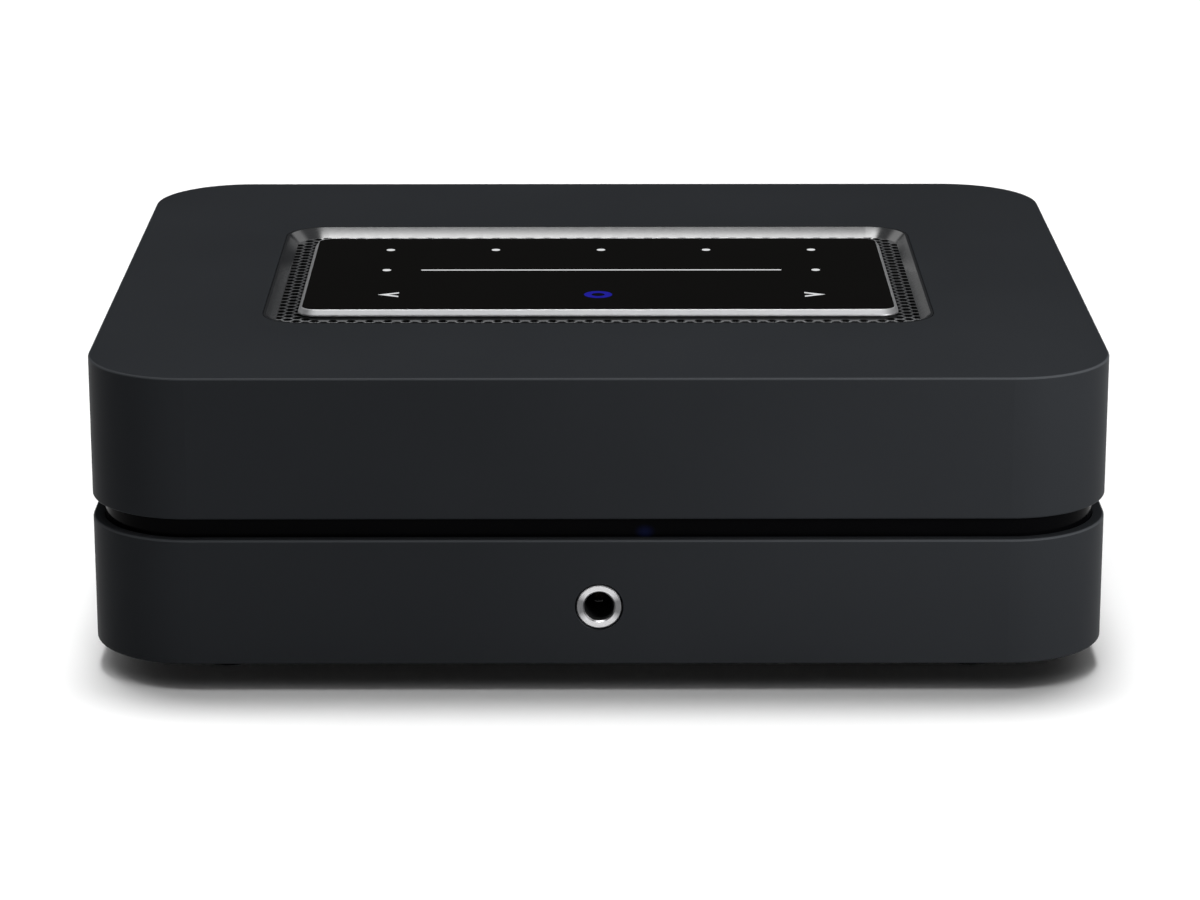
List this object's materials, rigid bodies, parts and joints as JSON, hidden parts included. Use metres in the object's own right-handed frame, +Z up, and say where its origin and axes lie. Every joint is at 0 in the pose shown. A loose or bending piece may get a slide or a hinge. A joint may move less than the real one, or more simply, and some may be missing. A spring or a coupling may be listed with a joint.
{
  "type": "network music streamer",
  "caption": "Compact streaming amplifier: rounded charcoal case split by a black groove, vented top well with a flush touch panel, headphone jack, rear sockets and screw-down speaker posts.",
  "frame": {"origin": "on the table under the middle of the overall length, speaker posts included", "axes": "+X to the right seen from the front, +Y to the rear, +Z up"},
  "size_m": [0.22, 0.208, 0.07],
  "materials": {
    "case": "fine satin moulded plastic, charcoal",
    "well_trim": "polished moulded plastic, charcoal",
    "groove_gloss": "polished black, lets infrared and the status light through",
    "base_steel": "black powder coat",
    "screw_steel": "blackened",
    "foot_rubber": "matte",
    "grille_steel": "satin black",
    "frame_silver": "fine brushed",
    "panel_glass": "polished, black backed",
    "inner_plastic": "moulded",
    "board_green": "solder mask",
    "board_brown": "bare laminate",
    "ribbon_film": "film",
    "bright_metal": "bright plated",
    "contact_brass": "gold flashed",
    "led_clear": "clear lens",
    "rear_steel": "black powder coat",
    "socket_plastic": "moulded",
    "socket_metal": "nickel plated",
    "phono_insert": "coloured insert",
    "knob_black": "moulded",
    "knob_red": "moulded",
    "ferrite": "sintered core with tape",
    "capacitor_sleeve": "shrink sleeve",
    "heat_sink_alloy": "extruded"
  },
  "bodies": {
    "body": {"upper_shell": "case", "lower_shell": "case", "groove_band": "groove_gloss", "base_plate": "base_steel", "case_screws": "screw_steel", "feet": "foot_rubber", "foot_screws": "screw_steel", "vent_surround": "well_trim", "vent_grille": "grille_steel", "panel_frame": "frame_silver", "panel_glass": "panel_glass", "panel_carrier": "inner_plastic", "carrier_screws": "screw_steel", "touch_board": "board_green", "touch_ribbon": "ribbon_film", "jack_ring": "bright_metal", "headphone_jack": "inner_plastic", "jack_contacts": "contact_brass", "jack_board": "board_green", "front_board": "board_green", "status_led": "led_clear", "ir_receiver": "inner_plastic", "rear_panel": "rear_steel", "rear_screws": "screw_steel", "mains_inlet": "socket_plastic", "mains_pins": "bright_metal", "lan_socket": "socket_metal", "usb_socket": "socket_metal", "hdmi_socket": "socket_metal", "sub_out_socket": "contact_brass", "sub_out_core": "phono_insert", "line_in_socket": "socket_plastic", "post_flanges": "socket_plastic", "post_studs": "contact_brass", "post_nuts": "socket_metal", "main_board": "board_green", "processor_shield": "socket_metal", "wifi_module": "socket_metal", "wifi_antennas": "contact_brass", "power_board": "board_brown", "power_transformer": "ferrite", "smoothing_capacitors": "capacitor_sleeve", "mains_choke": "ferrite", "amp_board": "board_green", "amp_chips": "inner_plastic", "heat_sink": "heat_sink_alloy", "output_chokes": "ferrite", "standoffs": "contact_brass", "board_screws": "socket_metal"},
    "clamp_1": {"post_washer_1": "contact_brass"},
    "knob_1": {"post_knob_1": "knob_black"},
    "clamp_2": {"post_washer_2": "contact_brass"},
    "knob_2": {"post_knob_2": "knob_red"},
    "clamp_3": {"post_washer_3": "contact_brass"},
    "knob_3": {"post_knob_3": "knob_red"},
    "clamp_4": {"post_washer_4": "contact_brass"},
    "knob_4": {"post_knob_4": "knob_black"}
  },
  "joints": [
    {"name": "clamp_1_slide", "type": "slide", "parent": "body", "child": "clamp_1", "axis": [0, 1, 0], "range_m": [0, 0.005]},
    {"name": "knob_1_turn", "type": "hinge", "parent": "clamp_1", "child": "knob_1", "pos_m": [0.07183, 0.097, 0.0205], "axis": [0, 1, 0], "range_deg": [0, 1800]},
    {"name": "clamp_2_slide", "type": "slide", "parent": "body", "child": "clamp_2", "axis": [0, 1, 0], "range_m": [0, 0.005]},
    {"name": "knob_2_turn", "type": "hinge", "parent": "clamp_2", "child": "knob_2", "pos_m": [0.05745, 0.097, 0.0205], "axis": [0, 1, 0], "range_deg": [0, 1800]},
    {"name": "clamp_3_slide", "type": "slide", "parent": "body", "child": "clamp_3", "axis": [0, 1, 0], "range_m": [0, 0.005]},
    {"name": "knob_3_turn", "type": "hinge", "parent": "clamp_3", "child": "knob_3", "pos_m": [0.04308, 0.097, 0.0205], "axis": [0, 1, 0], "range_deg": [0, 1800]},
    {"name": "clamp_4_slide", "type": "slide", "parent": "body", "child": "clamp_4", "axis": [0, 1, 0], "range_m": [0, 0.005]},
    {"name": "knob_4_turn", "type": "hinge", "parent": "clamp_4", "child": "knob_4", "pos_m": [0.02871, 0.097, 0.0205], "axis": [0, 1, 0], "range_deg": [0, 1800]}
  ],
  "couplings": [
    {"joint": "knob_1_turn", "follows": "clamp_1_slide", "rad_per_m": 6283.2},
    {"joint": "knob_2_turn", "follows": "clamp_2_slide", "rad_per_m": 6283.2},
    {"joint": "knob_3_turn", "follows": "clamp_3_slide", "rad_per_m": 6283.2},
    {"joint": "knob_4_turn", "follows": "clamp_4_slide", "rad_per_m": 6283.2}
  ]
}
